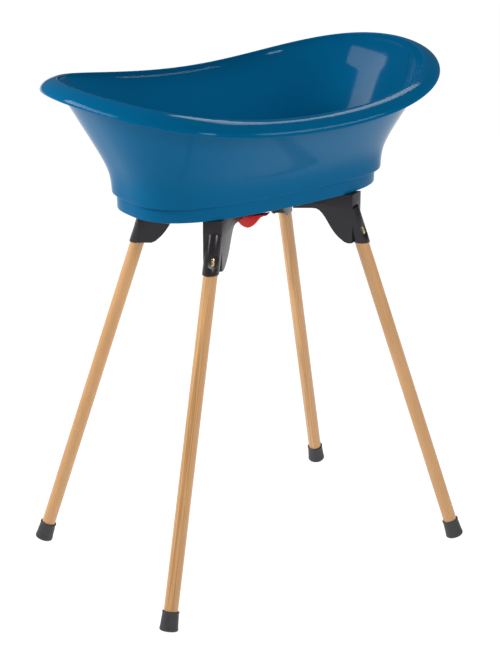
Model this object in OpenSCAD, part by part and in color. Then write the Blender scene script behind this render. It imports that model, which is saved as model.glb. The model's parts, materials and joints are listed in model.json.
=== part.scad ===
// Baby bathtub on a folding stand.
// The tub is one moulding that stands on two crossing arms. The arms turn about a bolt under the middle
// of the tub, a lever locks them open, and four turned wooden legs snap into sockets at their ends.
// Millimetres. X runs along the tub, towards its higher end. Y runs across it. Z is up from the floor.
// The origin is on the floor, under the middle of the rim.

/* [Tub] */
// Length of the opening, along the crest of the rim
rim_len = 726; // [600:1:800]
// Width of the opening, along the crest of the rim
rim_wid = 482; // [400:1:560]
// Height of the crest above the floor, halfway along the tub
rim_z = 946; // [930:1:970]
// How far the rolled lip stands out from the crest
lip_out = 29; // [20:0.5:40]
// How far the rolled lip hangs down, halfway along the tub
lip_drop = 26; // [20:0.5:34]
// Length of the body where it meets the base ring
base_len = 561; // [480:1:600]
// Width of the body where it meets the base ring
base_wid = 268; // [220:1:320]
// Height of the base ring under the body
ring_h = 27.5; // [20:0.5:36]
// Step from the body in to the base ring
ring_step = 7; // [3:0.5:12]
// Wall thickness of the moulding
wall = 3.2; // [2.5:0.1:5]

/* [Stand] */
// Height of the arms' flat tops, which carry the tub
arm_top = 741.2; // [700:0.1:780]
// Depth of an arm between its brackets
arm_h = 26.2; // [22:0.1:34]
// Width of an arm
arm_w = 31; // [28:0.5:40]
// Distance from the pivot to the far corner of an arm's end
arm_reach = 216; // [200:1:230]
// Angle of each arm from the tub's length, when the stand is open
arm_angle = 35.7; // [30:0.1:40]
// Wall thickness of the arms and brackets
arm_wall = 2.8; // [2:0.1:4]
// Radius of the round hub where the arms cross
hub_r = 27; // [26:0.5:30]

/* [Legs] */
// Diameter of a leg
leg_d = 27; // [24:0.5:30]
// Angle of a leg from the vertical, outwards
leg_splay = 17.93; // [10:0.01:20]
// Sideways lean of a leg, towards the tub's length
leg_lean = 1; // [0:0.1:2]
// Height at which a leg leaves its bracket
leg_exit_z = 646; // [630:1:660]
// Distance from the pivot at which a leg leaves its bracket
leg_exit_t = 218; // [214:1:222]
// Depth of the turned tenon that sits in the socket
tenon_len = 64; // [50:1:66]
// Length of a rubber foot
foot_len = 38; // [30:1:50]

/* [Lever] */
// Width of the red lever's bar
lever_w = 16; // [14:1:22]
// Lever shown released, in degrees
lever_pull = 0; // [0:1:11]

/* [Hidden] */
$fn = 64;
eps = 0.01;

// The stand's pivot lies a little behind the middle of the rim
stand_x = 11;

// Colours
tub_blue = [0.01, 0.31, 0.48];
arm_black = [0.17, 0.16, 0.18];
leg_wood = [0.78, 0.58, 0.37];
lever_red = [0.85, 0.18, 0.17];
foot_black = [0.12, 0.12, 0.13];
pin_steel = [0.72, 0.73, 0.75];
pin_brass = [0.80, 0.66, 0.38];
seal_white = [0.93, 0.93, 0.92];

// ---- Tub: one moulding, in three nodes that meet face to face: the basin, its lip and its base ring ----
// Each is a closed skin through rings of points, which run round its section
around = 60;             // points in each ring
body_z0 = arm_top + 0.3 + ring_h;
rim_half = rim_len / 2;
rim_side = rim_wid / 2;
side_taper = -0.045;     // the tub narrows towards its higher end
rim_power = [3.86, 1.98];
base_power = [3.1, 3.1];
ring_power = [2.8, 2.8];
body_gap = 8;            // the wall meets the lip this far below the crest
shoulder = 0.185;        // height share at which the wall starts to flare
softness = 0.132;        // how gently it does so
floor_z = body_z0 + 2.5; // top of the tub's floor
drain_x = -165;
drain_hole_r = 17.4;

// Crest height above the floor at s, from -1 at the foot end to 1 at the head end
function crest_z(s) = rim_z - 3.3 * s + 52.3 * s^2 + 10.8 * s^3 + 1.7 * s^4;
// Share from 0 to 1 by which the wall has flared, at height share h
function soft(h) = (sqrt((h - shoulder)^2 + softness^2) + h - shoulder) / 2;
function flare(h) = (soft(h) - soft(0)) / (soft(1) - soft(0));
function mix(a, b, f) = a + (b - a) * f;
function ease(f) = f <= 0 ? 0 : f >= 1 ? 1 : f * f * (3 - 2 * f);
// Half width at s, as a share, of a rounded outline with the powers p
function side(s, p) = (1 - min(1, abs(s)^p[0]))^(1 / p[1]);
// Ring of points: centre x, half length, half width, powers, and a height for each s
function ring_at(cx, a, b, p, z) = [
    for (i = [0 : around - 1])
        let (turn = 360 * i / around, s = cos(turn), y = sign(sin(turn)) * side(s, p))
        [cx + a * s, b * (1 + side_taper * s) * (abs(sin(turn)) < eps ? 0 : y), z(s)]
];
// Outside of the body at height share h, set in by the amount t
function body_ring(h, t = 0) = ring_at(
    mix(stand_x + 1.5, 6, flare(h)),
    mix(base_len / 2, rim_half + 9, flare(h)) - t,
    mix(base_wid / 2, rim_side + 8, flare(h)) - t,
    mix(base_power, [rim_power[0], 2], h),
    function (s) mix(body_z0, crest_z(s) - body_gap, h)
);
// Ring round the rim, moved out and down from the crest; the drop shrinks towards the ends
function rim_ring(out, down) = ring_at(
    0, rim_half + out, rim_side + out, rim_power,
    function (s) crest_z(s) - down * (lip_drop - 4.4 * s - 8.3 * s^2) / lip_drop
);
// Base ring at a height, set in by t
function skirt_ring(z, t) = ring_at(
    stand_x, base_len / 2 - ring_step - t, base_wid / 2 - ring_step + 2 - t, ring_power, function (s) z
);
// Edge of the drain hole at a height
function drain_ring(z) = [
    for (i = [0 : around - 1]) [drain_x + drain_hole_r * cos(360 * i / around), drain_hole_r * sin(360 * i / around), z]
];
// The inside wall follows the outside, and closes on the crest near the top
function inner_ring(h) =
    let (top = rim_ring(-1.5 - 6 * (1 - h), 4 + 60 * (1 - h)), low = body_ring(h, wall), f = ease((h - 0.72) / 0.26))
    [for (i = [0 : around - 1]) mix(low[i], top[i], f)];
// Rolled lip from its lower edge up to the crest, as a quarter of a soft oval
function lip_point(u, t) = [(lip_out - t) * u, t + (lip_drop - t) * (1 - sqrt(1 - u^1.4))];

skirt_z = arm_top + 0.3;
base_split_z = floor_z - 7; // the base ring meets the basin here
lip_split = 0.93;           // the lip meets the basin at this share of the wall's height
floor_h = 4;
basin_rings = concat(
    [drain_ring(floor_z - floor_h), skirt_ring(floor_z - floor_h, wall + 6), skirt_ring(base_split_z, wall + 0.6)],
    [skirt_ring(base_split_z, -0.4), skirt_ring(body_z0 - 2.6, -0.4), body_ring(0.002, 3), body_ring(0.012, 0.4)],
    [for (h = [0.04, 0.12, 0.2, 0.29, 0.39, 0.5, 0.62, 0.75, 0.88, lip_split]) body_ring(h)],
    [for (h = [lip_split, 0.88, 0.8, 0.7, 0.6, 0.5, 0.4, 0.3, 0.2, 0.13]) inner_ring(h)],
    [body_ring(0.08, wall + 1.2), body_ring(0.045, wall + 4.4), body_ring(0.026, wall + 10)],
    [skirt_ring(floor_z, wall + 15), drain_ring(floor_z)]
);
base_rings = [
    skirt_ring(base_split_z, wall + 0.6), skirt_ring(skirt_z + 2, wall), skirt_ring(skirt_z, wall - 0.8),
    skirt_ring(skirt_z, 1.4), skirt_ring(skirt_z + 1.6, 0), skirt_ring(base_split_z, -0.4)
];
lip_rings = concat(
    [body_ring(lip_split), body_ring(0.985, 0.3)],
    [for (u = [0.72, 0.97]) let (p = lip_point(u, 2.6)) rim_ring(p[0], p[1] + 1.5)],
    [rim_ring(lip_out - 2.2, lip_drop - 0.6), rim_ring(lip_out - 0.7, lip_drop - 0.2)],
    [for (u = [1, 0.985, 0.94, 0.85, 0.7, 0.5, 0.3, 0.12]) let (p = lip_point(u, 0)) rim_ring(p[0], p[1])],
    [rim_ring(0, 0), rim_ring(-1.6, 1.1), inner_ring(0.985), inner_ring(0.95), inner_ring(lip_split)]
);

// Closed skin through rings of points, each joined to the next and the last to the first
module ring_skin(rings) {
    n = len(rings);
    m = len(rings[0]);
    points = [for (ring = rings) each ring];
    faces = [
        for (i = [0 : n - 1], j = [0 : m - 1])
            let (a = i * m, b = ((i + 1) % n) * m, k = (j + 1) % m)
            // The closing band is split the other way, so that it meets its neighbour's exactly
            each i < n - 1 ? [[a + j, b + j, b + k], [a + j, b + k, a + k]]
                : [[a + j, b + j, a + k], [b + j, b + k, a + k]]
    ];
    polyhedron(points = points, faces = faces);
}

module tub_shell() {
    color(tub_blue) ring_skin(basin_rings);
}

module tub_lip() {
    color(tub_blue) ring_skin(lip_rings);
}

module tub_base_ring() {
    color(tub_blue) ring_skin(base_rings);
}

// ---- Drain in the tub's floor ----
seat_r = 22;
seat_flange = 2.4;
seat_bore = 12;
seal_h = 1.2;
seat_top = floor_z + seal_h + seat_flange;

module at_drain(z = 0) {
    translate([drain_x, 0, z]) children();
}

module drain_seat() {
    color(seal_white) at_drain() difference() {
        union() {
            translate([0, 0, floor_z + seal_h]) cylinder(h = seat_flange, r = seat_r);
            translate([0, 0, skirt_z + 3]) cylinder(h = floor_z + seal_h - skirt_z - 3 + eps, r = drain_hole_r - 0.6);
        }
        translate([0, 0, skirt_z]) cylinder(h = 60, r = seat_bore);
        // Recess that the plug's rim sits in
        translate([0, 0, seat_top - 1.2]) cylinder(h = 5, r = seat_bore + 4);
    }
}

module drain_seal() {
    color(foot_black) at_drain(floor_z) difference() {
        cylinder(h = seal_h, r = seat_r - 0.5);
        translate([0, 0, -1]) cylinder(h = seal_h + 2, r = drain_hole_r - 0.5);
    }
}

module drain_nut() {
    nut_h = 6;
    color(seal_white) at_drain(floor_z - 4 - nut_h) difference() {
        union() {
            cylinder(h = nut_h, r = 23);
            for (turn = [0 : 60 : 300]) rotate([0, 0, turn + 30]) translate([21, -2.5, 0]) cube([5, 5, nut_h]);
        }
        translate([0, 0, -1]) cylinder(h = nut_h + 2, r = drain_hole_r - 0.55);
    }
}

module drain_plug() {
    plug_gap = 0.05;
    color(tub_blue) at_drain() difference() {
        union() {
            translate([0, 0, seat_top - 1.1]) cylinder(h = 2.6, r = seat_bore + 3.6);
            translate([0, 0, seat_top - 12]) cylinder(h = 12, r = seat_bore - plug_gap);
            // Finger bar across the top
            translate([-10, -2.2, seat_top + 1]) cube([20, 4.4, 7]);
        }
        translate([0, 0, seat_top - 14]) cylinder(h = 12, r = seat_bore - 2.2);
    }
}

// ---- Stand: frames of reference ----
// Along an arm, from the pivot outwards; the two ends are a half turn apart
module along_arm(angle, end = 0) {
    translate([stand_x, 0, 0]) rotate([0, 0, angle + 180 * end]) children();
}

// On a leg's axis, where it leaves its bracket, with Z up the leg and X facing outwards
module on_leg(lean) {
    translate([leg_exit_t, 0, leg_exit_z]) rotate([lean * leg_lean, -leg_splay, 0]) children();
}

arm_low = arm_top - arm_h;
end_skew = 28.7;         // an arm's end faces this far round from its length, towards the tub's end
end_t = arm_reach - arm_w / 2 * tan(end_skew);
end_over = arm_reach + 9; // side views run past the end, which is then cut
bracket_low = leg_exit_z - 2.5;
lap = 84;                // the arms are halved this far from the pivot, so that they can cross
lap_h = (arm_h - 1) / 2; // height of each halved arm, with the spacer between them
upper_lap = arm_top - lap_h;
lower_lap = arm_low + lap_h;
socket_r = 15.9;
socket_bore = 11.3;
shoulder_up = 5;         // full thickness of the leg reaches this far into the socket
dish_floor = 12.3;       // floor of the dish round each button, out from the leg's axis
socket_top = 70;         // height of the socket's closed end up the leg's axis
tenon_r = 11.2;
dish_r = 13;
button_up = 19.5;        // the button sits this far up the leg's axis
button_r = 3.5;
button_half = 4.5;       // a button is taller than wide: its round ends stand this far from its middle
button_hole = 3.58;
pivot_r = 4;
pivot_hole = 4.06;
nut_recess = 7;
fold_travel = 48;        // degrees between the open and the folded stand
catch_t = 20;            // the lever's tooth stands this far from the pivot, on the foot side
catch_spread = 14;       // the track runs this many degrees past the tooth at each end
tooth_len = 7;
tooth_w = 7.6;
catch_rise = 5;          // the tooth stands this far into the upper arm
lever_pin_t = 36;
lever_pin_z = arm_low + 4.5;
lever_pin_r = 2.5;
lever_top = arm_low - 3.8;

// Side view of an arm's full-depth stretch and bracket, from the lap to its end and back
bracket_side = concat(
    [[lap, arm_top], [end_over, arm_top], [end_over, bracket_low], [191, bracket_low]],
    [[184, leg_exit_z + 0.5], [178, leg_exit_z + 5.5], [171, leg_exit_z + 12], [164, leg_exit_z + 20.5]],
    [[157, leg_exit_z + 31], [147, leg_exit_z + 49], [141, leg_exit_z + 58], [135, leg_exit_z + 64.5]],
    [[129, leg_exit_z + 68], [121, arm_low]]
);
// The lapped stretch joins it at the top on the upper arm, and at the bottom on the lower arm
upper_side = concat([[-1, upper_lap], [-1, arm_top]], bracket_side, [[lap, arm_low], [lap, upper_lap]]);
lower_side = concat([[-1, arm_low], [-1, lower_lap], [lap, lower_lap]], bracket_side);

// Slice of an arm's side view, w wide
module arm_plate(points, w) {
    rotate([90, 0, 0]) linear_extrude(w, center = true) polygon(points);
}

// Keeps what lies inside an arm's skewed end face, moved in by t
module within_end(lean, t = 0) {
    intersection() {
        children();
        translate([end_t, 0, 0]) rotate([0, 0, -lean * end_skew]) translate([-400 - t, -200, 0])
            cube([400, 400, arm_top + 10]);
    }
}

// Round-ended block standing on z = 0, as tall along X as a button
module tall_round(h, r) {
    for (x = [-button_half, button_half]) translate([x, 0, 0]) cylinder(h = h, r = r);
    translate([-button_half, -r, 0]) cube([2 * button_half, 2 * r, h]);
}

// On a button's axis, which leaves the leg's axis square to it, with Z facing outwards
module on_button(lean) {
    translate([0, 0, button_up]) rotate([0, 0, -lean * end_skew]) rotate([0, 90, 0]) children();
}

// Half an arm: a channel that is open below, with the leg's socket standing in it
module half_arm(side_view, lap_top, lean) {
    inside_w = arm_w - 2 * arm_wall;
    start = hub_r + 1;
    lap_end = lap + arm_wall;
    difference() {
        union() {
            difference() {
                within_end(lean) arm_plate(side_view, arm_w);
                arm_plate([[start, 0], [start, lap_top - arm_wall], [lap_end, lap_top - arm_wall], [lap_end, 0]],
                    inside_w);
                within_end(lean, arm_wall) arm_plate([[lap_end - 1, 0], [lap_end - 1, arm_top - arm_wall],
                    [end_over, arm_top - arm_wall], [end_over, 0]], inside_w);
            }
            intersection() {
                on_leg(lean) translate([0, 0, -10]) cylinder(h = socket_top + 10, r = socket_r);
                translate([100, -arm_w / 2, bracket_low]) cube([150, arm_w, arm_top - 1 - bracket_low]);
            }
            // Rib that ties the socket to the channel's roof
            arm_plate([[150, arm_top - 2], [150, arm_low + 12], [176, arm_low - 6], [196, arm_low - 6],
                [196, arm_top - 2]], 2.4);
        }
        on_leg(lean) {
            translate([0, 0, -20]) cylinder(h = 20 + shoulder_up + 0.2, r = leg_d / 2 + 0.2);
            cylinder(h = socket_top - 3, r = socket_bore);
            on_button(lean) tall_round(30, button_hole);
            // Dish round the button
            on_button(lean) translate([0, 0, dish_floor]) cylinder(h = 8, r = dish_r);
        }
    }
}

module arm(side_view, lap_bottom, lap_top, lean) {
    difference() {
        union() {
            for (turn = [0, 180]) rotate([0, 0, turn]) half_arm(side_view, lap_top, lean);
            translate([0, 0, lap_bottom]) cylinder(h = lap_h, r = hub_r);
        }
        translate([0, 0, arm_low - 5]) cylinder(h = arm_h + 10, r = pivot_hole);
    }
}

module upper_arm() {
    swing = fold_travel + 2 * catch_spread;
    color(arm_black) along_arm(-arm_angle) difference() {
        arm(upper_side, upper_lap, arm_top, 1);
        // Curved track for the lever's tooth; its ends stop the fold
        rotate([0, 0, 180 + 2 * arm_angle - fold_travel - catch_spread]) translate([0, 0, upper_lap - 1])
            rotate_extrude(angle = swing) translate([catch_t - 4.4, 0]) square([9.9, catch_rise + 2.6]);
    }
}

module lower_arm() {
    color(arm_black) along_arm(arm_angle) difference() {
        union() {
            arm(lower_side, arm_low, lower_lap, -1);
            // Bosses that carry the lever's pin
            for (y = [-1, 1]) translate([lever_pin_t, y * (arm_w / 2 - 2), lever_pin_z])
                rotate([90, 0, 0]) cylinder(h = 4, r = 4.4, center = true);
        }
        translate([0, 0, arm_low - 1]) cylinder(h = nut_recess + 1, r = 9.5);
        // Slot for the tooth
        translate([-catch_t - 6.3, -tooth_w / 2 - 0.8, arm_low - 1]) cube([13.8, tooth_w + 1.6, lap_h + 2]);
        translate([lever_pin_t, 0, lever_pin_z]) rotate([90, 0, 0])
            cylinder(h = arm_w + 2, r = lever_pin_r + 0.02, center = true);
    }
}

// ---- Pivot: bolt, washers, spacer and nut ----
washer_h = 1.4;
nut_h = 6.5;
head_r = 8;

module at_pivot(z) {
    translate([stand_x, 0, z]) children();
}

module flat_washer(outer, inner, h) {
    difference() {
        cylinder(h = h, r = outer);
        translate([0, 0, -1]) cylinder(h = h + 2, r = inner);
    }
}

module pivot_bolt() {
    tip_z = arm_low - 1.6;
    head_z = arm_top + washer_h;
    color(pin_steel) at_pivot(0) difference() {
        union() {
            translate([0, 0, tip_z + 1]) cylinder(h = head_z - tip_z - 1 + 1, r = pivot_r);
            translate([0, 0, tip_z]) cylinder(h = 1, r1 = pivot_r - 1, r2 = pivot_r);
            translate([0, 0, head_z]) cylinder(h = 1.6, r = head_r);
            translate([0, 0, head_z + 1.6]) cylinder(h = 2.6, r1 = head_r, r2 = head_r - 3.4);
        }
        // Hexagon socket in the head
        translate([0, 0, head_z + 1.2]) cylinder(h = 6, r = 2.9, $fn = 6);
    }
}

module pivot_top_washer() {
    color(pin_steel) at_pivot(arm_top) flat_washer(11, pivot_hole, washer_h);
}

module pivot_spacer() {
    running_gap = 0.05;
    color(seal_white) at_pivot(lower_lap + running_gap) flat_washer(15, pivot_hole, upper_lap - lower_lap - running_gap);
}

module pivot_low_washer() {
    color(pin_steel) at_pivot(arm_low + nut_recess - washer_h) flat_washer(8.6, pivot_hole, washer_h);
}

module pivot_nut() {
    color(pin_steel) at_pivot(arm_low + nut_recess - washer_h - nut_h) difference() {
        cylinder(h = nut_h, r = 7.5, $fn = 6);
        translate([0, 0, -1]) cylinder(h = nut_h + 2, r = pivot_r + 0.02);
    }
}

// ---- Lock lever: a crescent grip that hangs beside the crossing, on a bar that carries the tooth ----
grip_t = -54;            // the grip crosses the arm this far from the pivot
grip_w = 17;
bar_h = 4.5;
bar_side = [
    [grip_t, lever_top], [grip_t, lever_top - bar_h], [62, lever_top - bar_h], [65, lever_top - bar_h + 2],
    [65, lever_top]
];
// Outline of the grip, seen along the arm: a deep round belly that runs out into a thin tail
grip_outline = concat(
    [[5, lever_top], [4.5, 705], [1, 699.5], [-4, 694.5], [-10, 691], [-16.5, 689.5], [-23, 691], [-29, 695]],
    [[-34, 700.5], [-38, 706.5], [-42.5, 711.5], [-48, 715], [-55, 717.2], [-57, 718.4], [-56.5, 720]],
    [[-20, 713], [-12, lever_top]]
);

// Moves its children as the lever moves when it is pulled
module pull_lever() {
    translate([lever_pin_t, 0, lever_pin_z]) rotate([0, -lever_pull, 0])
        translate([-lever_pin_t, 0, -lever_pin_z]) children();
}

module lock_lever() {
    tooth_top = upper_lap + catch_rise;
    color(lever_red) along_arm(arm_angle) pull_lever() difference() {
        union() {
            arm_plate(bar_side, lever_w);
            translate([grip_t, 0, 0]) rotate([90, 0, 90]) linear_extrude(grip_w, center = true) polygon(grip_outline);
            // Lug round the pin
            translate([lever_pin_t, 0, lever_pin_z]) rotate([90, 0, 0])
                cylinder(h = lever_w, r = 4.8, center = true);
            translate([lever_pin_t - 4.8, -lever_w / 2, lever_top - 3]) cube([9.6, lever_w, lever_pin_z - lever_top + 3]);
            // Tooth
            translate([-catch_t - tooth_len / 2, -tooth_w / 2, lever_top - 3])
                cube([tooth_len, tooth_w, tooth_top - lever_top + 3]);
        }
        translate([lever_pin_t, 0, lever_pin_z]) rotate([90, 0, 0])
            cylinder(h = lever_w + 2, r = lever_pin_r + 0.06, center = true);
    }
}

module lever_pin() {
    color(pin_steel) along_arm(arm_angle) translate([lever_pin_t, 0, lever_pin_z]) rotate([90, 0, 0])
        cylinder(h = arm_w + 1, r = lever_pin_r, center = true);
}

// Coil spring standing on z = 0, as a round wire swept along a helix
module coil_spring(mean_r, wire_r, turns, height) {
    per_turn = 12;
    sides = 6;
    steps = turns * per_turn;
    rise = height - 2 * wire_r;
    points = [
        for (i = [0 : steps], j = [0 : sides - 1])
            let (turn = 360 * i / per_turn, ring = 360 * j / sides, out = mean_r + wire_r * cos(ring))
            [out * cos(turn), out * sin(turn), wire_r + rise * i / steps + wire_r * sin(ring)]
    ];
    skin = [
        for (i = [0 : steps - 1], j = [0 : sides - 1])
            let (a = i * sides, b = a + sides, k = (j + 1) % sides)
            each [[a + j, a + k, b + k], [a + j, b + k, b + j]]
    ];
    first = [[for (j = [0 : sides - 1]) sides - 1 - j]];
    last = [[for (j = [0 : sides - 1]) steps * sides + j]];
    polyhedron(points = points, faces = concat(skin, first, last));
}

module lever_spring() {
    top = lower_lap - arm_wall;
    color(pin_steel) along_arm(arm_angle) translate([56, 0, lever_top]) coil_spring(4.4, 0.5, 5, top - lever_top);
}

// ---- Legs, feet and the spring buttons that hold the legs in their sockets ----
leg_foot = -leg_exit_z / cos(leg_splay) + 3.8; // sole of the rubber foot, down the leg's axis
sole_h = 5;
sleeve_r = 5.4;
sleeve_back = -8;
sleeve_front = 9.6;
sleeve_wall = 1.2;
chamber_r = 4.5;
chamber_front = 7.8;
button_tip = 12.9;
flange_back = 5.8;

module leg(lean) {
    half = leg_d / 2;
    base = leg_foot + sole_h;
    difference() {
        union() {
            translate([0, 0, base + 1.5]) cylinder(h = shoulder_up - base - 1.5, r = half);
            translate([0, 0, base]) cylinder(h = 1.5, r1 = half - 1.5, r2 = half);
            cylinder(h = tenon_len - 1.5, r = tenon_r);
            translate([0, 0, tenon_len - 1.5]) cylinder(h = 1.5, r1 = tenon_r, r2 = tenon_r - 1.5);
        }
        on_button(lean) translate([0, 0, sleeve_back]) tall_round(30, sleeve_r + 0.02);
    }
}

// The foot flares downwards, and its sole is worn flat where it meets the floor
module rubber_foot(lean) {
    top_r = leg_d / 2 + 2.3;
    sole_r = leg_d / 2 + 4.4;
    round_r = 3;
    bore_r = leg_d / 2 - 0.1;
    corner = [for (k = [0 : 6]) [sole_r - round_r + round_r * sin(15 * k), round_r - round_r * cos(15 * k)]];
    intersection() {
        on_leg(lean) translate([0, 0, leg_foot]) rotate_extrude() polygon(concat(
            [[0, 0]], corner,
            [[top_r + 0.9, foot_len * 0.55], [top_r, foot_len - 1.2], [top_r - 1.2, foot_len]],
            [[bore_r, foot_len], [bore_r, sole_h], [0, sole_h]]
        ));
        translate([arm_reach, -150, 0]) cube([400, 300, 100]);
    }
}

module button(lean) {
    edge = 0.7;
    on_button(lean) {
        translate([0, 0, flange_back]) tall_round(chamber_front - flange_back - 0.05, chamber_r - 0.1);
        translate([0, 0, flange_back + 1]) tall_round(button_tip - edge - flange_back - 1, button_r);
        translate([0, 0, button_tip - edge - 0.5]) tall_round(edge + 0.5, button_r - edge);
    }
}

module sleeve(lean) {
    on_button(lean) difference() {
        translate([0, 0, sleeve_back]) tall_round(sleeve_front - sleeve_back, sleeve_r);
        translate([0, 0, sleeve_back + sleeve_wall])
            tall_round(chamber_front - sleeve_back - sleeve_wall, chamber_r);
        tall_round(sleeve_front + 1, button_hole);
    }
}

module button_spring(lean) {
    start = sleeve_back + sleeve_wall;
    on_button(lean) translate([0, 0, start]) coil_spring(3.7, 0.45, 6, flange_back - start);
}

// Places a leg's piece at one corner. The rear foot and front head legs are on the upper arm.
module foot_rear() {
    along_arm(-arm_angle, 1) children();
}
module head_front() {
    along_arm(-arm_angle, 0) children();
}
module foot_front() {
    along_arm(arm_angle, 1) children();
}
module head_rear() {
    along_arm(arm_angle, 0) children();
}

module leg_foot_rear() {
    color(leg_wood) foot_rear() on_leg(1) leg(1);
}
module leg_foot_front() {
    color(leg_wood) foot_front() on_leg(-1) leg(-1);
}
module leg_head_front() {
    color(leg_wood) head_front() on_leg(1) leg(1);
}
module leg_head_rear() {
    color(leg_wood) head_rear() on_leg(-1) leg(-1);
}

module rubber_foot_foot_rear() {
    color(foot_black) foot_rear() rubber_foot(1);
}
module rubber_foot_foot_front() {
    color(foot_black) foot_front() rubber_foot(-1);
}
module rubber_foot_head_front() {
    color(foot_black) head_front() rubber_foot(1);
}
module rubber_foot_head_rear() {
    color(foot_black) head_rear() rubber_foot(-1);
}

module button_foot_rear() {
    color(pin_brass) foot_rear() on_leg(1) button(1);
}
module button_foot_front() {
    color(pin_brass) foot_front() on_leg(-1) button(-1);
}
module button_head_front() {
    color(pin_brass) head_front() on_leg(1) button(1);
}
module button_head_rear() {
    color(pin_brass) head_rear() on_leg(-1) button(-1);
}

module sleeve_foot_rear() {
    color(pin_brass) foot_rear() on_leg(1) sleeve(1);
}
module sleeve_foot_front() {
    color(pin_brass) foot_front() on_leg(-1) sleeve(-1);
}
module sleeve_head_front() {
    color(pin_brass) head_front() on_leg(1) sleeve(1);
}
module sleeve_head_rear() {
    color(pin_brass) head_rear() on_leg(-1) sleeve(-1);
}

module spring_foot_rear() {
    color(pin_steel) foot_rear() on_leg(1) button_spring(1);
}
module spring_foot_front() {
    color(pin_steel) foot_front() on_leg(-1) button_spring(-1);
}
module spring_head_front() {
    color(pin_steel) head_front() on_leg(1) button_spring(1);
}
module spring_head_rear() {
    color(pin_steel) head_rear() on_leg(-1) button_spring(-1);
}

tub_shell();
tub_lip();
tub_base_ring();
drain_seat();
drain_nut();
drain_seal();
drain_plug();
upper_arm();
lower_arm();
pivot_bolt();
pivot_top_washer();
pivot_spacer();
pivot_low_washer();
pivot_nut();
lock_lever();
lever_pin();
lever_spring();
leg_foot_rear();
leg_foot_front();
leg_head_front();
leg_head_rear();
rubber_foot_foot_rear();
rubber_foot_foot_front();
rubber_foot_head_front();
rubber_foot_head_rear();
button_foot_rear();
button_foot_front();
button_head_front();
button_head_rear();
sleeve_foot_rear();
sleeve_foot_front();
sleeve_head_front();
sleeve_head_rear();
spring_foot_rear();
spring_foot_front();
spring_head_front();
spring_head_rear();
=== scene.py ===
import json
import logging
import math
from collections.abc import Callable, Sequence
from dataclasses import dataclass, field
from enum import Enum

import bmesh
import bpy
from mathutils import Matrix, Vector

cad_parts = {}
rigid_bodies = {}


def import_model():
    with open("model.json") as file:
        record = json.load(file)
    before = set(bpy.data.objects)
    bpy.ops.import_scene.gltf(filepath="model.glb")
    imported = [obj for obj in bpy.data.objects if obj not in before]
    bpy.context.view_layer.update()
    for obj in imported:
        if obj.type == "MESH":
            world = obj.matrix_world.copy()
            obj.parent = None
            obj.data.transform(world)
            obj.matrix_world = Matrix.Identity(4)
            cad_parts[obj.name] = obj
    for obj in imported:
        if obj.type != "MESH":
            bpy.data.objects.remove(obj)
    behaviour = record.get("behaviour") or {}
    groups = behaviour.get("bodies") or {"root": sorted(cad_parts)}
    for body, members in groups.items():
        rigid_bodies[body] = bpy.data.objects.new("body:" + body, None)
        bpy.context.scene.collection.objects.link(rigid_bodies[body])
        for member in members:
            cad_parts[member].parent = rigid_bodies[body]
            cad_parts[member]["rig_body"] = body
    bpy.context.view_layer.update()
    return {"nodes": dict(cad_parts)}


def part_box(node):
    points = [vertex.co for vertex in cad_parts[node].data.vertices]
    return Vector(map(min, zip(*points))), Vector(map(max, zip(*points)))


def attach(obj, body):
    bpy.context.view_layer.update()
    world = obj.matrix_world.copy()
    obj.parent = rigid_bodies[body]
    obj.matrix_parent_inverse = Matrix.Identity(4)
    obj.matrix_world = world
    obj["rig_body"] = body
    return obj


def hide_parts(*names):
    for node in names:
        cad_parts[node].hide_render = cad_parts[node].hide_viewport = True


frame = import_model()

GRAIN = "grain"              # attribute that holds where a point lies in its piece of wood
CAD_MERGE_REACH = 2e-5       # metres within which a CAD mesh's doubled points are merged
FLAT_ANGLE = math.radians(0.5)  # faces that turn by less than this are joined
log = logging.getLogger("bathtub")

Profile = Sequence[tuple[float, float]]
Colour = tuple[float, float, float]
Stops = Sequence[tuple[float, Colour]]


class Body(Enum):
    """The bodies that whole sub-assemblies ride on."""

    STAND = "stand"
    CROSS_ARM = "cross_arm"
    TUB = "tub"


class Slot(Enum):
    """The finishes that the record names."""

    TUB_BLUE = "tub_blue"
    ARM_BLACK = "arm_black"
    LEG_WOOD = "leg_wood"
    FOOT_RUBBER = "foot_rubber"
    LEVER_RED = "lever_red"
    WHITE_PLASTIC = "white_plastic"
    BRASS = "brass"
    STEEL = "steel"


class Corner(Enum):
    """The four corners of the stand, as the nodes are named."""

    FOOT_REAR = "foot_rear"
    FOOT_FRONT = "foot_front"
    HEAD_FRONT = "head_front"
    HEAD_REAR = "head_rear"

    @property
    def body(self) -> Body:
        """The body that carries this corner's leg."""
        on_upper = self in (Corner.FOOT_REAR, Corner.HEAD_FRONT)
        return Body.STAND if on_upper else Body.CROSS_ARM

    @property
    def lean_side(self) -> int:
        """Which way this corner's leg leans, seen from outside."""
        return 1 if self.body is Body.STAND else -1


# ---------------------------------------------------------------------------------------- finishes


class Shade:
    """A socket of a material's node tree that takes part in arithmetic."""

    def __init__(self, recipe: "Recipe", socket: bpy.types.NodeSocket) -> None:
        """Wraps a socket.

        Args:
            recipe: The material that the socket belongs to.
            socket: The output socket.
        """
        self.recipe = recipe
        self.socket = socket

    def _maths(self, operation: str, first: "Shade | float", second: "Shade | float") -> "Shade":
        """Adds a Math node for an operation on two values."""
        return self.recipe.node("ShaderNodeMath", {"operation": operation}, {0: first, 1: second})

    def __add__(self, other: "Shade | float") -> "Shade":
        """Sum."""
        return self._maths("ADD", self, other)

    def __mul__(self, other: "Shade | float") -> "Shade":
        """Product."""
        return self._maths("MULTIPLY", self, other)

    def __sub__(self, other: "Shade | float") -> "Shade":
        """Difference."""
        return self._maths("SUBTRACT", self, other)


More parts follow.
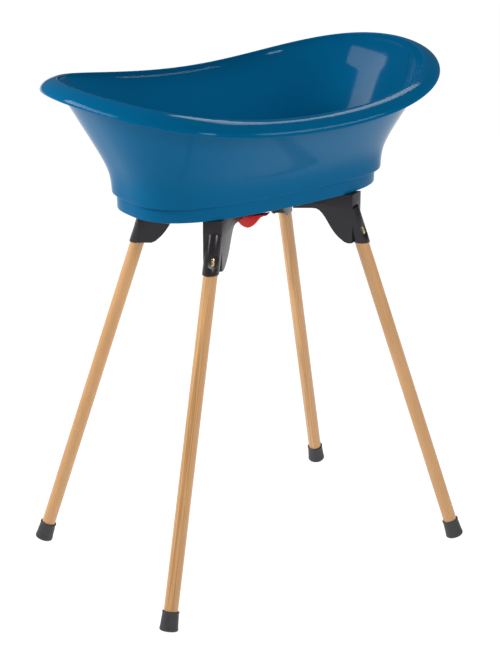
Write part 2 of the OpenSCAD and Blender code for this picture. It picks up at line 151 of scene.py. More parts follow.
class Recipe:
    """A node material in the making, with one principled surface."""

    def __init__(self, name: str) -> None:
        """Starts an empty material.

        Args:
            name: The material's name.
        """
        self.material = bpy.data.materials.new(name)
        self.material.use_nodes = True
        self.tree = self.material.node_tree
        self.surface = self.tree.nodes["Principled BSDF"]

    def node(
        self,
        kind: str,
        settings: dict[str, object] | None = None,
        inputs: dict[str | int, object] | None = None,
        out: str | int = 0,
    ) -> Shade:
        """Adds a node.

        Args:
            kind: The node's type.
            settings: Its properties, set first. "stops" are a colour ramp's places and colours.
            inputs: A number, a colour or a Shade for each named or numbered socket.
            out: The output to give back.

        Returns:
            The chosen output.
        """
        made = self.tree.nodes.new(kind)
        for key, value in (settings or {}).items():
            if key == "stops":
                self._set_stops(made.color_ramp, value)
            else:
                setattr(made, key, value)
        for key, value in (inputs or {}).items():
            self.feed(made.inputs[key], value)
        return Shade(self, made.outputs[out])

    def _set_stops(self, ramp: bpy.types.ColorRamp, stops: Stops) -> None:
        """Gives a colour ramp its stops."""
        while len(ramp.elements) < len(stops):
            ramp.elements.new(1.0)
        for element, (place, colour) in zip(ramp.elements, stops):
            element.position = place
            element.color = (*colour, 1.0)

    def feed(self, socket: bpy.types.NodeSocket, value: object) -> None:
        """Links a Shade to a socket, or sets the socket's own value."""
        if isinstance(value, Shade):
            self.tree.links.new(value.socket, socket)
        else:
            socket.default_value = value

    def dress(self, values: dict[str, object]) -> bpy.types.Material:
        """Sets the surface's sockets and gives back the material."""
        for name, value in values.items():
            self.feed(self.surface.inputs[name], value)
        return self.material

    def place(self, scale: Sequence[float] = (1, 1, 1)) -> Shade:
        """Object coordinates, stretched by a scale."""
        where = self.node("ShaderNodeTexCoord", out="Object")
        return self.node("ShaderNodeMapping", {}, {"Vector": where, "Scale": scale})

    def grain_place(self, scale: Sequence[float]) -> Shade:
        """Coordinates stored on a wooden piece, with Z along its grain, stretched by a scale."""
        where = self.node("ShaderNodeAttribute", {"attribute_name": GRAIN}, out="Vector")
        return self.node("ShaderNodeMapping", {}, {"Vector": where, "Scale": scale})

    def noise(self, where: Shade, scale: float, detail: float = 2.0, rough: float = 0.5) -> Shade:
        """Soft noise between 0 and 1."""
        inputs = {"Vector": where, "Scale": scale, "Detail": detail, "Roughness": rough}
        return self.node("ShaderNodeTexNoise", {}, inputs, out="Fac")

    def ramp(self, value: Shade, stops: Stops) -> Shade:
        """A colour for a value."""
        return self.node("ShaderNodeValToRGB", {"stops": stops}, {"Fac": value}, out="Color")

    def blend(self, share: Shade, low: Colour | Shade, high: Colour | Shade) -> Shade:
        """A colour between two colours."""
        low = low if isinstance(low, Shade) else (*low, 1.0)
        high = high if isinstance(high, Shade) else (*high, 1.0)
        return self.node("ShaderNodeMix", {"data_type": "RGBA"}, {0: share, 6: low, 7: high}, out=2)

    def bump(self, height: Shade, strength: float, depth: float) -> Shade:
        """A bumped normal from a height."""
        inputs = {"Height": height, "Strength": strength, "Distance": depth}
        return self.node("ShaderNodeBump", {}, inputs, out="Normal")


@dataclass(frozen=True)
class MouldedPlastic:
    """Injection-moulded plastic: an even colour, a faint flow pattern and the mould's skin."""

    name: str
    colour: Colour
    deep_colour: Colour
    roughness: float
    skin_scale: float
    skin_depth: float
    shine: float = 0.5
    coat: float = 0.0

    def material(self) -> bpy.types.Material:
        """Builds the material."""
        recipe = Recipe(self.name)
        flow = recipe.noise(recipe.place(), 6.0, 3.0)
        handling = recipe.noise(recipe.place((1, 1, 3)), 55.0, 4.0, 0.6)
        skin = recipe.noise(recipe.place(), self.skin_scale, 2.0)
        return recipe.dress({
            "Base Color": recipe.blend(flow, self.deep_colour, self.colour),
            "Roughness": handling * 0.08 + (self.roughness - 0.04),
            "Normal": recipe.bump(skin, 0.25, self.skin_depth),
            "Specular IOR Level": self.shine,
            "Coat Weight": self.coat,
            "Coat Roughness": 0.06,
        })


@dataclass(frozen=True)
class LacqueredWood:
    """Turned light wood under a satin lacquer: growth rings, long fibres and darker flecks."""

    name: str
    light: Colour = (0.66, 0.37, 0.155)
    mid: Colour = (0.56, 0.295, 0.11)
    dark: Colour = (0.40, 0.19, 0.066)
    ring_scale: float = 150.0
    fibre_scale: float = 1500.0
    fleck_scale: float = 900.0

    def material(self) -> bpy.types.Material:
        """Builds the material."""
        recipe = Recipe(self.name)
        warp = recipe.noise(recipe.grain_place((1, 1, 0.06)), 38.0, 2.0)
        inputs = {
            "Vector": recipe.grain_place((1, 1, 0.03)),
            "Scale": self.ring_scale,
            "Distortion": 5.5,
            "Detail": 2.0,
            "Detail Scale": 1.2,
            "Phase Offset": warp * 6.0,
        }
        rings = recipe.node("ShaderNodeTexWave", {"wave_profile": "SIN"}, inputs, out="Fac")
        fibres = recipe.noise(recipe.grain_place((1, 1, 0.012)), self.fibre_scale, 3.0, 0.65)
        flecks = recipe.noise(recipe.grain_place((1, 1, 0.05)), self.fleck_scale, 1.0)
        patches = recipe.noise(recipe.grain_place((1, 1, 0.25)), 22.0, 2.0)
        tone = rings * 0.34 + fibres * 0.38 + patches * 0.30
        colour = recipe.ramp(tone, [(0.30, self.light), (0.52, self.mid), (0.80, self.dark)])
        limits = {"Value": flecks, "From Min": 0.62, "From Max": 0.76, "To Max": 0.35}
        fleck_share = recipe.node("ShaderNodeMapRange", {}, limits)
        pored = recipe.blend(fleck_share, colour, self.dark)
        return recipe.dress({
            "Base Color": pored,
            "Roughness": fibres * 0.16 + 0.34,
            "Normal": recipe.bump(fibres - flecks * 0.3, 0.30, 0.0003),
            "Coat Weight": 0.35,
            "Coat Roughness": 0.22,
        })


@dataclass(frozen=True)
class MouldedRubber:
    """Matt moulded rubber with a dusty bloom on its raised grain."""

    name: str
    colour: Colour = (0.020, 0.019, 0.022)
    bloom: Colour = (0.045, 0.043, 0.047)

    def material(self) -> bpy.types.Material:
        """Builds the material."""
        recipe = Recipe(self.name)
        grain = recipe.noise(recipe.place(), 1500.0, 3.0, 0.6)
        dust = recipe.noise(recipe.place(), 70.0, 4.0, 0.6)
        return recipe.dress({
            "Base Color": recipe.blend(dust, self.colour, self.bloom),
            "Roughness": dust * 0.2 + 0.48,
            "Normal": recipe.bump(grain, 0.35, 0.0003),
        })


@dataclass(frozen=True)
class TurnedMetal:
    """Turned or plated metal with fine tool marks and duller patches."""

    name: str
    colour: Colour
    dull: Colour
    roughness: float = 0.28

    def material(self) -> bpy.types.Material:
        """Builds the material."""
        recipe = Recipe(self.name)
        marks = recipe.noise(recipe.place((1, 1, 9)), 1400.0, 2.0)
        patches = recipe.noise(recipe.place(), 160.0, 3.0)
        return recipe.dress({
            "Base Color": recipe.blend(patches, self.dull, self.colour),
            "Metallic": 1.0,
            "Roughness": marks * 0.14 + patches * 0.1 + (self.roughness - 0.12),
            "Normal": recipe.bump(marks, 0.12, 0.0001),
        })


FINISHES = {
    Slot.TUB_BLUE: MouldedPlastic(
        "tub_blue_gloss", (0.0006, 0.106, 0.238), (0.0004, 0.094, 0.218), 0.09, 420.0, 0.00004, 0.05
    ),
    Slot.ARM_BLACK: MouldedPlastic(
        "arm_black_satin", (0.022, 0.019, 0.023), (0.016, 0.014, 0.018), 0.26, 1100.0, 0.00010, 0.3
    ),
    Slot.LEVER_RED: MouldedPlastic(
        "lever_red_gloss", (0.70, 0.016, 0.014), (0.60, 0.012, 0.012), 0.24, 900.0, 0.0001, 0.35
    ),
    Slot.WHITE_PLASTIC: MouldedPlastic(
        "white_plastic_satin", (0.82, 0.82, 0.80), (0.76, 0.76, 0.74), 0.32, 900.0, 0.0001
    ),
    Slot.LEG_WOOD: LacqueredWood("leg_wood_lacquered"),
    Slot.FOOT_RUBBER: MouldedRubber("foot_rubber_matt"),
    Slot.BRASS: TurnedMetal("brass_turned", (0.86, 0.66, 0.33), (0.70, 0.50, 0.22), 0.26),
    Slot.STEEL: TurnedMetal("steel_plated", (0.74, 0.75, 0.77), (0.56, 0.57, 0.60), 0.30),
}


class Wardrobe:
    """Makes each finish once, and dresses pieces with it."""

    def __init__(self) -> None:
        """Starts with nothing made."""
        self.made: dict[Slot, bpy.types.Material] = {}

    def dress(self, piece: bpy.types.Object, slot: Slot) -> None:
        """Gives a piece the finish of a slot."""
        if slot not in self.made:
            self.made[slot] = FINISHES[slot].material()
        if not piece.material_slots:
            piece.data.materials.append(self.made[slot])
        for material_slot in piece.material_slots:
            material_slot.material = self.made[slot]


# ----------------------------------------------------------------------------------- the workbench


class Bench:
    """Modelling by hand: primitives shaped in edit mode, and modifiers that are applied."""

    @staticmethod
    def clear() -> None:
        """Leaves edit mode with nothing selected."""
        if bpy.context.mode != "OBJECT":
            bpy.ops.object.mode_set(mode="OBJECT")
        bpy.ops.object.select_all(action="DESELECT")

    @staticmethod
    def pick(piece: bpy.types.Object) -> None:
        """Makes a piece the only one selected, and the active one."""
        Bench.clear()
        piece.select_set(True)
        bpy.context.view_layer.objects.active = piece

    @staticmethod
    def name(name: str) -> bpy.types.Object:
        """Names the piece on the bench and gives it back."""
        piece = bpy.context.object
        piece.name = name
        piece.data.name = name
        return piece

    @staticmethod
    def turn(name: str, profile: Profile, segments: int = 48) -> bpy.types.Object:
        """Turns a closed piece about Z.

        Args:
            name: The piece's name.
            profile: Radius and height of each step, from the bottom up, closed by flat ends.
            segments: Number of faces round the piece.

        Returns:
            The turned piece, standing at the origin.
        """
        radius, height = profile[0]
        Bench.clear()
        bpy.ops.mesh.primitive_circle_add(
            vertices=segments, radius=radius, fill_type="NGON", location=(0, 0, height)
        )
        piece = Bench.name(name)
        bpy.ops.object.transform_apply(location=True)
        bpy.ops.object.mode_set(mode="EDIT")
        bpy.ops.mesh.select_all(action="SELECT")
        for next_radius, next_height in profile[1:]:
            bpy.ops.mesh.extrude_region_move(
                TRANSFORM_OT_translate={"value": (0, 0, next_height - height)}
            )
            share = next_radius / radius
            bpy.ops.transform.resize(value=(share, share, 1), center_override=(0, 0, next_height))
            radius, height = next_radius, next_height
        Bench.mend(piece)
        return piece

    @staticmethod
    def mend(piece: bpy.types.Object, reach: float = 1e-6) -> None:
        """Merges points that lie within a reach of each other, and turns every face outwards."""
        Bench.pick(piece)
        bpy.ops.object.mode_set(mode="EDIT")
        bpy.ops.mesh.select_all(action="SELECT")
        bpy.ops.mesh.remove_doubles(threshold=reach)
        bpy.ops.mesh.normals_make_consistent(inside=False)
        bpy.ops.object.mode_set(mode="OBJECT")

    @staticmethod
    def bevel(piece: bpy.types.Object, width: float, segments: int, angle: float = 30.0) -> None:
        """Rounds edges that are sharper than an angle, with a modifier that is applied."""
        Bench.pick(piece)
        rounding = piece.modifiers.new("rounding", "BEVEL")
        rounding.width = width
        rounding.segments = segments
        rounding.limit_method = "ANGLE"
        rounding.angle_limit = math.radians(angle)
        bpy.ops.object.modifier_apply(modifier=rounding.name)

    @staticmethod
    def smooth(piece: bpy.types.Object, angle: float = 30.0) -> None:
        """Shades a piece smooth, apart from edges sharper than an angle."""
        Bench.pick(piece)
        bpy.ops.object.shade_smooth_by_angle(angle=math.radians(angle))

    @staticmethod
    def settle(piece: bpy.types.Object, place: Matrix) -> None:
        """Moves a piece's mesh to its place, with its object left at the origin."""
        piece.data.transform(piece.matrix_world)
        piece.matrix_world = Matrix.Identity(4)
        piece.data.transform(place)
        piece.data.update()


@dataclass
class Fitter:
    """Hands finished pieces over to the frame."""

    wardrobe: Wardrobe = field(default_factory=Wardrobe)

    def fit(self, piece: bpy.types.Object, body: Body | str, slot: Slot, *replaced: str) -> None:
        """Dresses a piece and makes it ride on its body.

        Args:
            piece: The finished piece, in place.
            body: The body that it moves with.
            slot: Its finish.
            *replaced: The CAD nodes that it stands for.
        """
        self.wardrobe.dress(piece, slot)
        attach(piece, body.value if isinstance(body, Body) else body)
        if replaced:
            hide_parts(*replaced)
        faces = len(piece.data.polygons)
        log.info("%s: %d faces, rides on %s", piece.name, faces, piece["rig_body"])

    def dress_node(self, node: str, slot: Slot) -> None:
        """Gives a CAD node its finish."""
        self.wardrobe.dress(frame["nodes"][node], slot)
        log.info("%s: CAD node, finished as %s", node, slot.value)


# ----------------------------------------------------------------------------------------- the tub

Ring = Callable[[float], Vector]


def between(low: float, high: float, share: float) -> float:
    """The value that lies a share of the way between two."""
    return low + (high - low) * share


def steps(low: float, high: float, count: int) -> list[float]:
    """Evenly spaced values, both ends included."""
    return [between(low, high, index / (count - 1)) for index in range(count)]


def middle(node: str) -> Vector:
    """The middle of a CAD node's box."""
    low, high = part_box(node)
    return (low + high) / 2


@dataclass
class Tub:
    """The tub: one thin glossy moulding with a rolled lip, set back at the foot into a base ring.

    A ring is a function that gives a point for each turn round the tub. Its place along the tub is
    s, the turn's cosine: 1 at the higher head end and -1 at the foot end. Sizes are in metres.
    """

    fitter: Fitter
    around: int = 256
    crest: float = 0.946
    crest_rise: tuple[float, float, float, float] = (-0.0033, 0.0523, 0.0108, 0.0017)
    half_width: float = 0.241
    taper: float = 0.045
    rim_powers: tuple[float, float] = (3.86, 1.98)
    base_powers: tuple[float, float] = (3.1, 3.1)
    ring_powers: tuple[float, float] = (2.8, 2.8)
    base_half_length: float = 0.2805
    base_half_width: float = 0.134
    ring_height: float = 0.0275
    lip_out: float = 0.029
    lip_drop: float = 0.026
    lip_drop_change: tuple[float, float] = (-0.0044, -0.0083)
    lip_wall: float = 0.0026
    wall: float = 0.0032
    shoulder: float = 0.185
    softness: float = 0.132
    drain_radius: float = 0.0174

    def __post_init__(self) -> None:
        """Takes the tub's place from the frame."""
        low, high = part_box("tub_lip")
        self.half_length = (high.x - low.x) / 2 - self.lip_out
        self.foot_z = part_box("tub_base_ring")[0].z
        self.body_z = self.foot_z + self.ring_height
        self.floor_z = self.body_z + 0.0025
        self.stand_x = middle("pivot_bolt").x
        self.drain_x = middle("drain_seat").x

    def crest_z(self, s: float) -> float:
        """Height of the crest of the rim."""
        return self.crest + sum(rise * s**power for power, rise in enumerate(self.crest_rise, 1))

    def flare(self, share: float) -> float:
        """How far the wall has flared at a share of its height."""
        past = [height - self.shoulder for height in (0, share, 1)]
        soft = [math.hypot(rise, self.softness) + rise for rise in past]
        return (soft[1] - soft[0]) / (soft[2] - soft[0])

    def outline(
        self,
        centre: float,
        half_length: float,
        half_width: float,
        powers: tuple[float, float],
        height: Callable[[float], float],
    ) -> Ring:
        """A rounded ring.

        Args:
            centre: Its middle along the tub.
            half_length: Half its length.
            half_width: Half its width, halfway along.
            powers: How square it is, along and across.
            height: Its height for each s.

        Returns:
            The ring.
        """

        def point(turn: float) -> Vector:
            s = math.cos(turn)
            share = (1 - min(1, abs(s) ** powers[0])) ** (1 / powers[1])
            across = half_width * (1 - self.taper * s) * math.copysign(share, math.sin(turn))
            return Vector((centre + half_length * s, across, height(s)))

        return point

    def body(self, share: float, inset: float = 0.0) -> Ring:
        """Ring on the outside of the wall, at a share of its height, or set in from it."""
        flare = self.flare(share)
        top_powers = (self.rim_powers[0], 2.0)
        powers = tuple(
            between(low, high, share) for low, high in zip(self.base_powers, top_powers)
        )
        return self.outline(
            between(self.stand_x + 0.0015, 0.006, flare),
            between(self.base_half_length, self.half_length + 0.009, flare) - inset,
            between(self.base_half_width, self.half_width + 0.008, flare) - inset,
            powers,
            lambda s: between(self.body_z, self.crest_z(s) - 0.008, share),
        )

    def rim(self, out: float, down: float) -> Ring:
        """Ring out and down from the crest. The drop shrinks towards the ends."""

        def height(s: float) -> float:
            change = sum(part * s**power for power, part in enumerate(self.lip_drop_change, 1))
            return self.crest_z(s) - down * (1 + change / self.lip_drop)

        half_length, half_width = self.half_length + out, self.half_width + out
        return self.outline(0, half_length, half_width, self.rim_powers, height)

    def base_ring(self, z: float, inset: float) -> Ring:
        """Ring on the base under the wall, set in from its outside."""
        half_length = self.base_half_length - 0.007 - inset
        half_width = self.base_half_width - 0.005 - inset
        return self.outline(self.stand_x, half_length, half_width, self.ring_powers, lambda s: z)

    def drain(self, z: float) -> Ring:
        """Edge of the drain hole."""
        radius = self.drain_radius
        return lambda turn: Vector(
            (self.drain_x + radius * math.cos(turn), radius * math.sin(turn), z)
        )

    def lip(self, share: float, inset: float = 0.0) -> tuple[float, float]:
        """How far out and down the rolled lip is, from 0 at its crest to 1 at its edge."""
        fall = 1 - math.sqrt(1 - min(1, share) ** 1.4)
        return (self.lip_out - inset) * share, inset + (self.lip_drop - inset) * fall

    def inside(self, share: float) -> Ring:
        """Ring on the inside of the wall, which closes on the crest near the top."""
        low = self.body(share, self.wall)
        top = self.rim(-0.0015 - 0.006 * (1 - share), 0.004 + 0.06 * (1 - share))
        near = min(1.0, max(0.0, (share - 0.72) / 0.26))
        near = near * near * (3 - 2 * near)
        return lambda turn: low(turn).lerp(top(turn), near)

    def _below(self) -> list[Ring]:
        """Rings under the floor, down the base ring's inside and up its outside."""
        foot = self.foot_z
        return [
            self.drain(self.floor_z - 0.004),
            self.base_ring(self.floor_z - 0.004, self.wall + 0.006),
            self.base_ring(self.floor_z - 0.0048, self.wall + 0.0025),
            self.base_ring(self.floor_z - 0.007, self.wall + 0.0006),
            self.base_ring(foot + 0.002, self.wall),
            self.base_ring(foot + 0.0003, self.wall - 0.0003),
            self.base_ring(foot, self.wall - 0.001),
            self.base_ring(foot, 0.0014),
            self.base_ring(foot + 0.0004, 0.0005),
            self.base_ring(foot + 0.0014, 0.0001),
            self.base_ring(foot + 0.002, 0),
            self.base_ring(self.body_z - 0.0030, -0.0004),
            self.base_ring(self.body_z - 0.0006, -0.0003),
        ]

    def _outside(self) -> list[Ring]:
        """Rings up the outside of the wall, from the rounded step at its foot."""
        step = [(0.0008, 0.0046), (0.0012, 0.0024), (0.0032, 0.0012)]
        step += [(0.0065, 0.0005), (0.012, 0.0001)]
        return [self.body(share, inset) for share, inset in step] + [
            self.body(share) for share in steps(0.02, 0.975, 34)
        ]

    def _lip(self) -> list[Ring]:
        """Rings out under the lip, round its edge and back over it to the crest."""
        under = [self.lip(share, self.lip_wall) for share in (0.47, 0.6, 0.72, 0.82, 0.9, 0.955)]
        edge = [(0.0014, 0.0012), (0.0022, 0.0004), (0.0014, 0.0001)]
        edge += [(0.0006, 0.0002), (0.0001, 0.0008)]
        over = [self.lip(math.sin(turn)) for turn in steps(math.radians(84), 0, 22)]
        crest = [(-0.0005, 0.0001), (-0.001, 0.0004), (-0.0014, 0.0008), (-0.0016, 0.0014)]
        return (
            [self.rim(out, down + 0.0015) for out, down in under]
            + [self.rim(self.lip_out - back, self.lip_drop - up) for back, up in edge]
            + [self.rim(out, down) for out, down in over]
            + [self.rim(out, down) for out, down in crest]
        )

    def _inside(self) -> list[Ring]:
        """Rings down the inside, round the fillet at its foot and across the floor to the drain."""
        low_share = 0.13
        floor_share = 0.0155
        fillet = steps(math.radians(8), math.radians(86), 9)
        return (
            [self.inside(share) for share in steps(0.985, low_share, 36)]
            + [
                self.body(
                    between(low_share, floor_share, math.sin(turn)),
                    self.wall + 0.017 * (1 - math.cos(turn)),
                )
                for turn in fillet
            ]
            + [
                self.base_ring(self.floor_z, self.wall + 0.014),
                self.base_ring(self.floor_z, self.wall + 0.03),
                self.drain(self.floor_z),
            ]
        )

    def build(self) -> None:
        """Models the moulding by drawing a ring of edges through every ring of its section."""
        rings = self._below() + self._outside() + self._lip() + self._inside()
        shell = self._draw("tub_moulding", rings)
        Bench.mend(shell)
        Bench.smooth(shell, 38)
        self.fitter.fit(shell, Body.TUB, Slot.TUB_BLUE, "tub_shell", "tub_lip", "tub_base_ring")

    def _draw(self, name: str, rings: Sequence[Ring]) -> bpy.types.Object:
        """Extrudes a circle of edges through rings of points, and back onto the first.

        Args:
            name: The piece's name.
            rings: The rings, in order round the section.

        Returns:
            The closed skin.
        """
        Bench.clear()
        bpy.ops.mesh.primitive_circle_add(vertices=self.around, fill_type="NOTHING")
        piece = Bench.name(name)
        place = piece.data.attributes.new("place", "INT", "POINT")
        for vertex in piece.data.vertices:
            place.data[vertex.index].value = vertex.index
        turns = [2 * math.pi * index / self.around for index in range(self.around)]
        bpy.ops.object.mode_set(mode="EDIT")
        bpy.ops.mesh.select_mode(type="VERT")
        bpy.ops.mesh.select_all(action="SELECT")
        for index, ring in enumerate([*rings, rings[0]]):
            if index:
                bpy.ops.mesh.extrude_edges_move()
            edited = bmesh.from_edit_mesh(piece.data)
            layer = edited.verts.layers.int["place"]
            for vertex in edited.verts:
                if vertex.select:
                    vertex.co = ring(turns[vertex[layer]])
            bmesh.update_edit_mesh(piece.data)
        bpy.ops.object.mode_set(mode="OBJECT")
        piece.data.attributes.remove(piece.data.attributes["place"])
        return piece


# --------------------------------------------------------------------------------------- the stand


@dataclass(frozen=True)
class Corners:
    """Where the legs are: each is splayed outwards from the end of an arm, and leans a little."""

    arm_angle: float = math.radians(35.7)
    exit_reach: float = 0.218
    exit_z: float = 0.646
    splay: float = math.radians(17.93)
    lean: float = math.radians(1)
    button_up: float = 0.0195
    skew: float = math.radians(28.7)

    def leg(self, corner: Corner) -> Matrix:
        """The place of a leg's axis: Z up the leg, X outwards, from where it leaves its bracket."""
        bearing = -self.arm_angle if corner.body is Body.STAND else self.arm_angle
        if corner in (Corner.FOOT_REAR, Corner.FOOT_FRONT):
            bearing += math.pi
        pivot = middle("pivot_bolt")
        return (
            Matrix.Translation((pivot.x, pivot.y, 0))
            @ Matrix.Rotation(bearing, 4, "Z")
            @ Matrix.Translation((self.exit_reach, 0, self.exit_z))
            @ Matrix.Rotation(-self.splay, 4, "Y")
            @ Matrix.Rotation(corner.lean_side * self.lean, 4, "X")
        )

    def button(self, corner: Corner) -> Matrix:
        """The place of a leg's button: Z along it, outwards, and X down the leg."""
        facing = Matrix.Rotation(-corner.lean_side * self.skew, 4, "Z")
        across = Matrix.Rotation(math.pi / 2, 4, "Y")
        return self.leg(corner) @ Matrix.Translation((0, 0, self.button_up)) @ facing @ across


def arc(centre: tuple[float, float], radius: float, start: float, end: float, count: int) -> list:
    """Points on an arc, as radius and height, between two angles in degrees."""
    turns = [math.radians(turn) for turn in steps(start, end, count)]
    return [(centre[0] + radius * math.cos(t), centre[1] + radius * math.sin(t)) for t in turns]


@dataclass
class Legs:
    """The four turned legs with their rubber feet and spring buttons."""

    fitter: Fitter
    corners: Corners = Corners()
    radius: float = 0.0135
    tenon_radius: float = 0.0112
    shoulder: float = 0.005
    tenon_length: float = 0.064
    foot_length: float = 0.038
    sole: float = 0.005
    button_radius: float = 0.0035
    button_half: float = 0.0045
    button_tip: float = 0.0129

    def __post_init__(self) -> None:
        """Works out how far down its axis a leg's sole is."""
        self.sole_z = -self.corners.exit_z / math.cos(self.corners.splay) + 0.0038

    def _leg(self) -> bpy.types.Object:
        """Turns a leg: a long dowel with eased ends and a thinner tenon at the top."""
        base = self.sole_z + self.sole
        ease = 0.0015
        shaft = steps(base + ease, self.shoulder - 0.0006, 40)
        profile = [(self.radius - ease, base)]
        profile += [(self.radius, z) for z in shaft]
        profile += [(self.radius - 0.0006, self.shoulder), (self.tenon_radius, self.shoulder)]
        profile += [(self.tenon_radius, self.tenon_length - ease)]
        profile += [(self.tenon_radius - ease, self.tenon_length)]
        return Bench.turn("leg_pattern", profile, 56)

    def _foot(self) -> bpy.types.Object:
        """Turns a rubber foot: a flared cup with a rounded sole and a thin bead round its top."""
        low = self.sole_z
        top = low + self.foot_length
        sole_radius = self.radius + 0.0044
        neck_radius = self.radius + 0.0023
        bore = self.radius - 0.0001
        profile = [(sole_radius - 0.006, low)]
        profile += arc((sole_radius - 0.003, low + 0.003), 0.003, -84, 0, 7)
        profile += [(sole_radius - 0.0003, low + 0.006), (sole_radius - 0.0009, low + 0.012)]
        profile += [(neck_radius + 0.0005, low + 0.024), (neck_radius - 0.0001, top - 0.0044)]
        profile += arc((neck_radius - 0.0005, top - 0.0022), 0.0013, -64, 64, 6)
        profile += [(neck_radius - 0.0009, top - 0.0004), (neck_radius - 0.0014, top)]
        profile += [(bore + 0.0003, top), (bore, top - 0.0004), (bore, low + self.sole)]
        return Bench.turn("foot_pattern", profile, 56)

    def _button(self) -> bpy.types.Object:
        """Turns a button, a pin with a domed tip on a flange, and draws it out taller than wide."""
        flange = 0.0044
        dome = 0.0012
        profile = [(flange, 0.0058), (flange, 0.00775), (self.button_radius, 0.00775)]
        profile += [(self.button_radius, self.button_tip - 0.0016)]
        profile += arc((self.button_radius - dome, self.button_tip - 0.0016), dome, 15, 75, 5)
        profile += [(self.button_radius - 0.0018, self.button_tip - 0.00012)]
        profile += [(0.0006, self.button_tip)]
        button = Bench.turn("button_pattern", profile, 40)
        for vertex in button.data.vertices:
            if abs(vertex.co.x) > 1e-5:
                vertex.co.x += math.copysign(self.button_half, vertex.co.x)
        return button

    def _copy(self, pattern: bpy.types.Object, name: str, place: Matrix) -> bpy.types.Object:
        """Copies a pattern with its own mesh, and puts the copy's mesh in place."""
        piece = bpy.data.objects.new(name, pattern.data.copy())
        piece.data.name = name
        bpy.context.scene.collection.objects.link(piece)
        Bench.settle(piece, place)
        return piece

    def _mark_grain(self, leg: bpy.types.Object, shift: float) -> None:
        """Stores where each point lies in its own piece of wood, so that no two legs match."""
        grain = leg.data.attributes.new(GRAIN, "FLOAT_VECTOR", "POINT")
        heart = Vector((0.021 + 0.009 * shift, 0.013 - 0.006 * shift, 1.7 * shift))
        for vertex in leg.data.vertices:
            grain.data[vertex.index].vector = vertex.co + heart

    def _level(self, foot: bpy.types.Object) -> None:
        """Cuts a foot's sole flat where it stands on the floor."""
        Bench.pick(foot)
        bpy.ops.object.mode_set(mode="EDIT")
        bpy.ops.mesh.select_all(action="SELECT")
        bpy.ops.mesh.bisect(plane_co=(0, 0, 0), plane_no=(0, 0, 1), use_fill=True, clear_inner=True)
        bpy.ops.object.mode_set(mode="OBJECT")
        Bench.mend(foot)

    def build(self) -> None:
        """Makes one of each piece, and fits a copy of it at every corner."""
        patterns = {"leg": self._leg(), "foot": self._foot(), "button": self._button()}
        for number, corner in enumerate(Corner):
            place = self.corners.leg(corner)
            leg = self._copy(patterns["leg"], f"leg_{corner.value}_turned", Matrix.Identity(4))
            self._mark_grain(leg, number + 0.5)
            Bench.settle(leg, place)
            Bench.smooth(leg, 35)
            self.fitter.fit(leg, corner.body, Slot.LEG_WOOD, f"leg_{corner.value}")
            foot = self._copy(patterns["foot"], f"foot_{corner.value}_moulded", place)
            self._level(foot)
            Bench.smooth(foot, 35)
            self.fitter.fit(foot, corner.body, Slot.FOOT_RUBBER, f"rubber_foot_{corner.value}")
            place = self.corners.button(corner)
            button = self._copy(patterns["button"], f"button_{corner.value}_domed", place)
            Bench.smooth(button, 40)
            self.fitter.fit(button, f"catch_{corner.value}", Slot.BRASS, f"button_{corner.value}")
        for pattern in patterns.values():
            bpy.data.objects.remove(pattern)


@dataclass
class RoundedParts:
    """Moulded and turned parts that keep their CAD form and get rounded edges."""

    fitter: Fitter
    roundings: tuple[tuple[str, Slot, float, int], ...] = (
        ("upper_arm", Slot.ARM_BLACK, 0.0008, 3),
        ("lower_arm", Slot.ARM_BLACK, 0.0008, 3),
        ("lock_lever", Slot.LEVER_RED, 0.0018, 4),
        ("drain_seat", Slot.WHITE_PLASTIC, 0.0004, 3),
        ("drain_nut", Slot.WHITE_PLASTIC, 0.0005, 3),
        ("drain_plug", Slot.TUB_BLUE, 0.0006, 3),
        ("pivot_bolt", Slot.STEEL, 0.0003, 2),
        ("pivot_nut", Slot.STEEL, 0.0004, 2),
        ("lever_pin", Slot.STEEL, 0.0004, 2),
    )

    def build(self) -> None:
        """Rounds a merged copy of each part, which stands for the CAD node."""
        for node, slot, width, segments in self.roundings:
            piece = self._copy(node)
            self._dissolve(piece)
            Bench.bevel(piece, width, segments)
            Bench.smooth(piece, 40)
            self.fitter.fit(piece, frame["nodes"][node]["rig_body"], slot, node)

    def _copy(self, node: str) -> bpy.types.Object:
        """Copies a CAD node's mesh into a new piece, and merges it."""
        piece = bpy.data.objects.new(f"{node}_rounded", frame["nodes"][node].data.copy())
        piece.data.name = piece.name
        bpy.context.scene.collection.objects.link(piece)
        Bench.mend(piece, CAD_MERGE_REACH)
        return piece

    def _dissolve(self, piece: bpy.types.Object) -> None:
        """Joins the triangles of each flat face."""
        Bench.pick(piece)
        flat = piece.modifiers.new("flat", "DECIMATE")
        flat.decimate_type = "DISSOLVE"
        flat.angle_limit = FLAT_ANGLE
        bpy.ops.object.modifier_apply(modifier=flat.name)


@dataclass
class Hardware:
    """Small parts that are shown as their CAD nodes, with a finish."""

    fitter: Fitter
    steel: tuple[str, ...] = ("pivot_top_washer", "pivot_low_washer", "lever_spring")

    def build(self) -> None:
        """Finishes each node."""
        for node in self.steel:
            self.fitter.dress_node(node, Slot.STEEL)
        self.fitter.dress_node("pivot_spacer", Slot.WHITE_PLASTIC)
        self.fitter.dress_node("drain_seal", Slot.FOOT_RUBBER)
        for corner in Corner:
            self.fitter.dress_node(f"sleeve_{corner.value}", Slot.BRASS)
            self.fitter.dress_node(f"spring_{corner.value}", Slot.STEEL)


# -------------------------------------------------------------------------------------- the studio


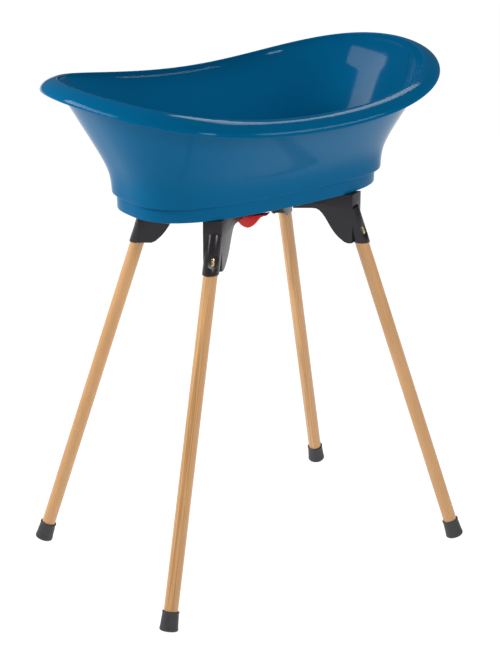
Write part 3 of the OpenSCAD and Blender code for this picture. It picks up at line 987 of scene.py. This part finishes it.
@dataclass(frozen=True)
class Softbox:
    """A soft rectangular lamp that points at a place."""

    name: str
    place: tuple[float, float, float]
    aim: tuple[float, float, float]
    size: tuple[float, float]
    power: float

    def build(self) -> None:
        """Hangs the lamp."""
        lamp = bpy.data.lights.new(self.name, "AREA")
        lamp.shape = "RECTANGLE"
        lamp.size, lamp.size_y = self.size
        lamp.energy = self.power
        holder = bpy.data.objects.new(self.name, lamp)
        holder.location = self.place
        direction = Vector(self.aim) - Vector(self.place)
        holder.rotation_euler = direction.to_track_quat("-Z", "Y").to_euler()
        bpy.context.scene.collection.objects.link(holder)


@dataclass
class Studio:
    """A pale floor, soft lamps and the camera."""

    azimuth: float = math.radians(-35.02)
    elevation: float = math.radians(20.19)
    distance: float = 3.747
    aim: tuple[float, float, float] = (0.012, 0.0, 0.448)
    lens: float = 101.25
    floor_size: float = 30.0
    floor_glow: float = 0.97
    room_light: float = 0.12
    lamps: tuple[Softbox, ...] = (
        Softbox("key", (-1.85, 1.1, 1.75), (0.1, 0, 0.93), (1.9, 0.8), 62),
        Softbox("left_front", (-0.4, -3.2, 2.2), (0, 0, 0.75), (0.8, 0.7), 46),
        Softbox("right_front", (1.9, -2.5, 2.3), (0, 0, 0.85), (0.8, 0.7), 20),
        Softbox("overhead", (1.3, 0.8, 3.0), (0, 0, 0.9), (1.1, 0.7), 26),
    )

    def build(self) -> None:
        """Sets up the studio."""
        self._floor()
        self._room()
        self._camera()
        for lamp in self.lamps:
            lamp.build()

    def _floor(self) -> None:
        """Lays the floor."""
        Bench.clear()
        bpy.ops.mesh.primitive_plane_add(size=self.floor_size)
        floor = Bench.name("studio_floor")
        recipe = Recipe("floor_paper")
        tone = recipe.noise(recipe.place(), 3.0)
        floor.data.materials.append(recipe.dress({
            "Base Color": recipe.blend(tone, (0.16, 0.16, 0.16), (0.18, 0.18, 0.18)),
            "Roughness": 0.9,
            "Specular IOR Level": 0.1,
            "Emission Color": (1, 1, 1, 1),
            "Emission Strength": self.floor_glow,
        }))

    def _room(self) -> None:
        """Fills the room with even light."""
        world = bpy.data.worlds.new("room")
        world.use_nodes = True
        world.node_tree.nodes["Background"].inputs["Color"].default_value = (1, 1, 1, 1)
        world.node_tree.nodes["Background"].inputs["Strength"].default_value = self.room_light
        bpy.context.scene.world = world
        bpy.context.scene.view_settings.view_transform = "Standard"

    def _camera(self) -> None:
        """Places the camera."""
        camera = bpy.data.objects.new("camera", bpy.data.cameras.new("camera"))
        away = Vector((
            math.sin(self.azimuth) * math.cos(self.elevation),
            -math.cos(self.azimuth) * math.cos(self.elevation),
            math.sin(self.elevation),
        ))
        camera.location = Vector(self.aim) + away * self.distance
        camera.rotation_euler = (-away).to_track_quat("-Z", "Y").to_euler()
        camera.data.lens = self.lens
        camera.data.sensor_width = 36
        bpy.context.scene.collection.objects.link(camera)
        bpy.context.scene.camera = camera


def main() -> None:
    """Builds the bathtub and its studio."""
    logging.basicConfig(level=logging.INFO, format="%(message)s")
    fitter = Fitter()
    for part in (Tub(fitter), Legs(fitter), RoundedParts(fitter), Hardware(fitter), Studio()):
        part.build()


if __name__ == "__main__":
    main()
